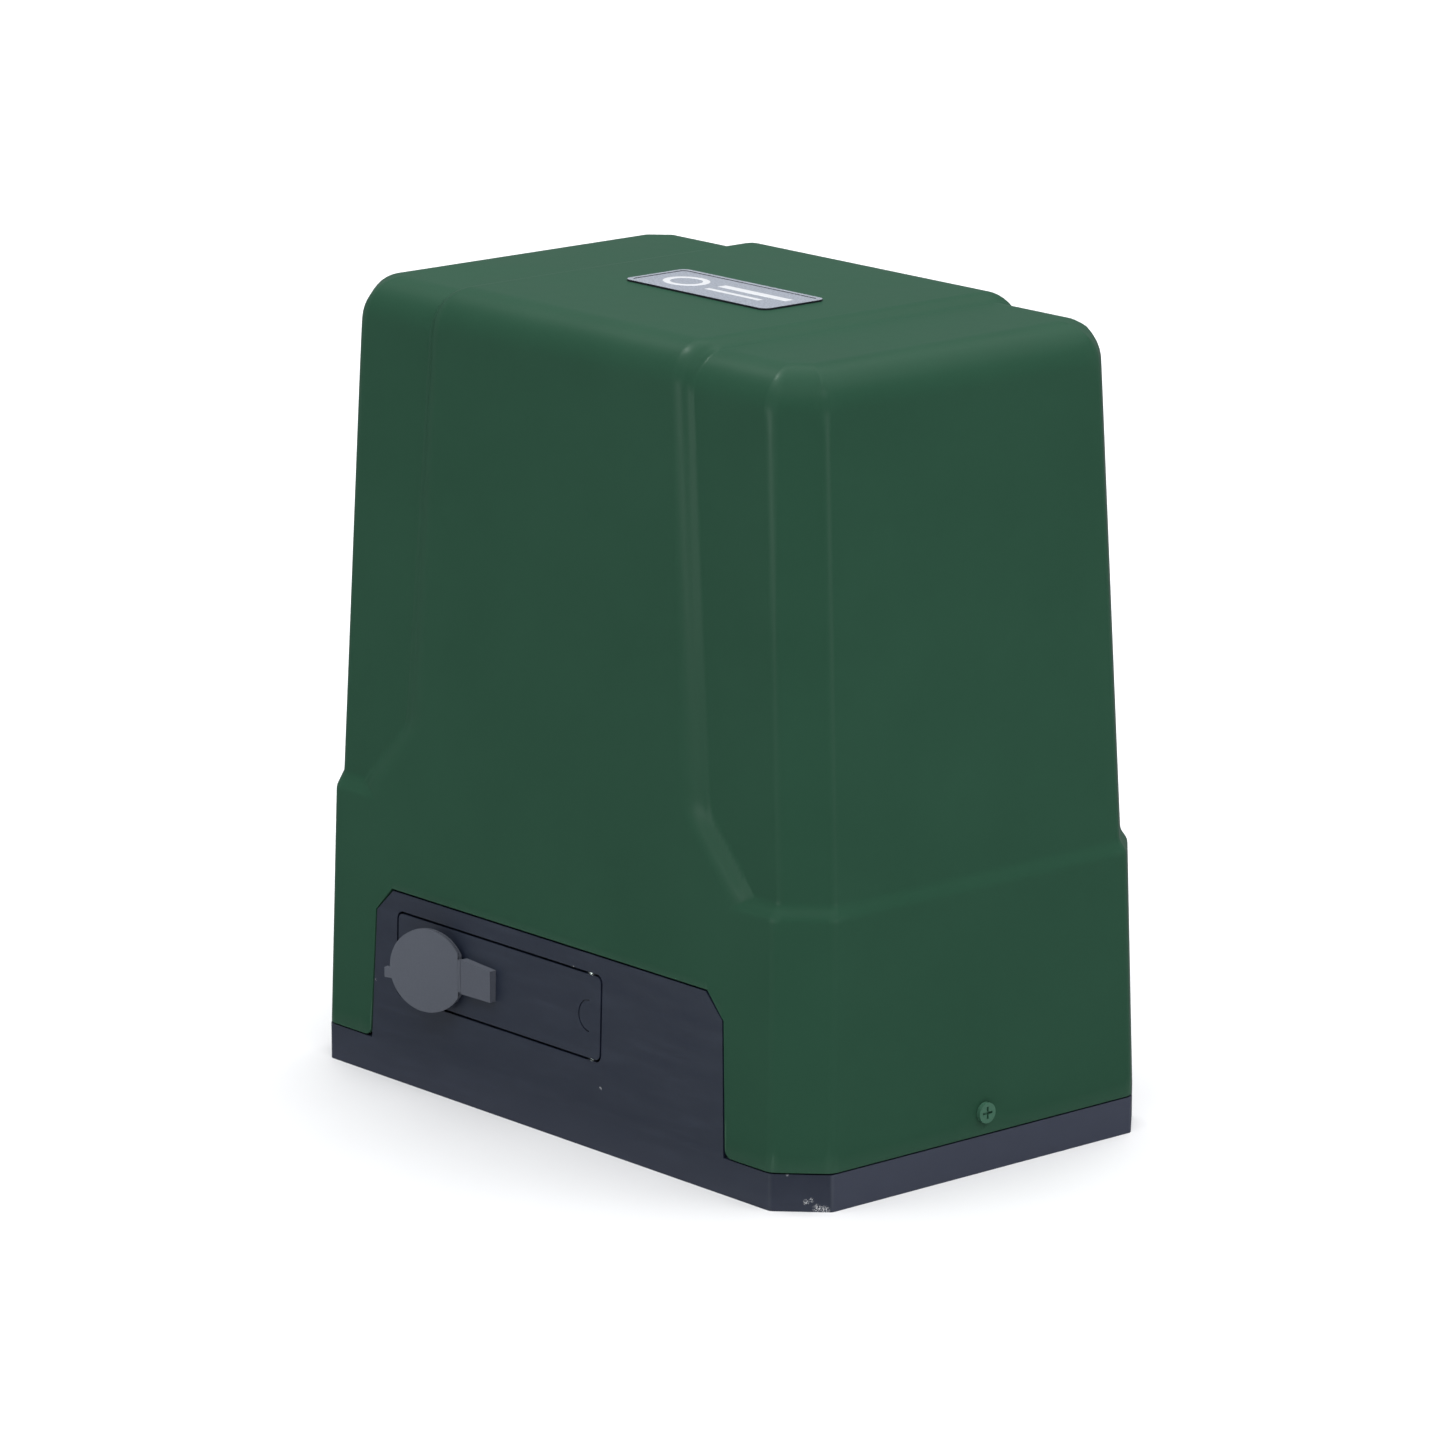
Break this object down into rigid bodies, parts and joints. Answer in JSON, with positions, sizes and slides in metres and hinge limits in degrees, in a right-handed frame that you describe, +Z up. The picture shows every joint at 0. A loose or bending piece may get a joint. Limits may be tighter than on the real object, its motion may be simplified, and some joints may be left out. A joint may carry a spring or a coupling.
{
  "type": "sliding gate operator",
  "caption": "Floor-standing sliding-gate drive: tapered moulded cover on a flat base, lockable release lever low on the front, rack pinion behind.",
  "frame": {"origin": "centre of the base's underside, in the middle of the four foundation bolt holes", "axes": "+X to the right along the wide front, -Y out of the front with the release lever, +Z up; the output shaft points along +Y"},
  "size_m": [0.2994, 0.2387, 0.3174],
  "materials": {
    "base_plastic": "fine satin grain",
    "cover_paint": "satin, very fine grain",
    "painted_screw": "satin",
    "plate_metal": "brushed",
    "black_rubber": "matt",
    "steel": "machined",
    "lock_metal": "plated, satin",
    "cap_rubber": "matt",
    "cast_aluminium": "as cast",
    "bronze": "machined",
    "bearing_steel": "polished",
    "lamination_steel": "stacked sheet",
    "copper": "enamelled wire",
    "zinc_sheet": "zinc plated",
    "circuit_board": "solder mask",
    "terminal_plastic": "moulded",
    "relay_plastic": "moulded",
    "coil_tape": "tape",
    "black_plastic": "moulded",
    "white_plastic": "moulded"
  },
  "bodies": {
    "housing": {"base": "base_plastic", "blank_name_plate": "plate_metal", "board_bracket": "zinc_sheet", "board_screws": "steel", "bracket_screws": "steel", "cable_grommet": "black_rubber", "capacitor_clip": "zinc_sheet", "control_board": "circuit_board", "cover": "cover_paint", "cover_screws": "painted_screw", "earth_screw": "bronze", "front_shaft_bearing": "bearing_steel", "fuse_holder": "black_plastic", "gearbox_foot_bolts": "steel", "gearbox_housing": "cast_aluminium", "gearbox_lid": "cast_aluminium", "gearbox_lid_screws": "steel", "lever_hinge_pin": "steel", "limit_sensor": "black_plastic", "motor_end_cap": "cast_aluminium", "motor_housing": "cast_aluminium", "motor_screws": "steel", "radio_receiver": "circuit_board", "rear_shaft_bearing": "bearing_steel", "relays": "relay_plastic", "run_capacitor": "white_plastic", "shaft_seal": "black_rubber", "stator_core": "lamination_steel", "stator_windings": "copper", "terminal_blocks": "terminal_plastic", "transformer_coil": "coil_tape", "transformer_core": "lamination_steel", "worm_shaft_lower_bearing": "bearing_steel", "worm_shaft_middle_bearing": "bearing_steel", "worm_shaft_top_bearing": "bearing_steel"},
    "output": {"output_shaft": "steel", "shaft_circlip": "steel", "worm_wheel": "bronze", "drive_pinion": "steel", "pinion_key": "steel", "pinion_washer": "steel", "pinion_bolt": "steel", "clutch_spring": "steel"},
    "clutch_pin": {"clutch_pin": "steel"},
    "motor_rotor": {"worm_shaft": "steel", "rotor": "lamination_steel"},
    "lever": {"release_lever": "base_plastic", "lock_barrel": "lock_metal", "lock_cap_strap": "cap_rubber"},
    "lock_plug": {"lock_plug": "lock_metal", "lock_tongue": "steel"},
    "lock_cap": {"lock_cap": "cap_rubber"},
    "release_rod": {"release_rod": "steel"}
  },
  "joints": [
    {"name": "motor_spin", "type": "hinge", "parent": "housing", "child": "motor_rotor", "pos_m": [-0.019, 0, 0.052], "axis": [0, 0, 1], "continuous": true},
    {"name": "output_spin", "type": "hinge", "parent": "housing", "child": "output", "pos_m": [0.026, 0, 0.052], "axis": [0, 1, 0], "continuous": true},
    {"name": "lever_hinge", "type": "hinge", "parent": "housing", "child": "lever", "pos_m": [0.0245, -0.0875, 0.052], "axis": [0, 0, 1], "range_deg": [0, 90]},
    {"name": "rod_slide", "type": "slide", "parent": "housing", "child": "release_rod", "axis": [0, 1, 0], "range_m": [0, 0.0051]},
    {"name": "clutch_slide", "type": "slide", "parent": "output", "child": "clutch_pin", "axis": [0, 1, 0], "range_m": [0, 0.0051], "deforming": ["clutch_spring"]},
    {"name": "lock_turn", "type": "hinge", "parent": "lever", "child": "lock_plug", "pos_m": [-0.0632, -0.082, 0.0519], "axis": [0, -1, 0], "range_deg": [0, 90]},
    {"name": "cap_hinge", "type": "hinge", "parent": "lever", "child": "lock_cap", "pos_m": [-0.0484, -0.094, 0.0519], "axis": [0, 0, 1], "range_deg": [-20, 70]}
  ],
  "couplings": [
    {"joint": "output_spin", "follows": "motor_spin", "ratio": -0.041667},
    {"joint": "rod_slide", "follows": "lever_hinge", "m_per_rad": 0.0031831},
    {"joint": "clutch_slide", "follows": "lever_hinge", "m_per_rad": 0.0031831}
  ]
}
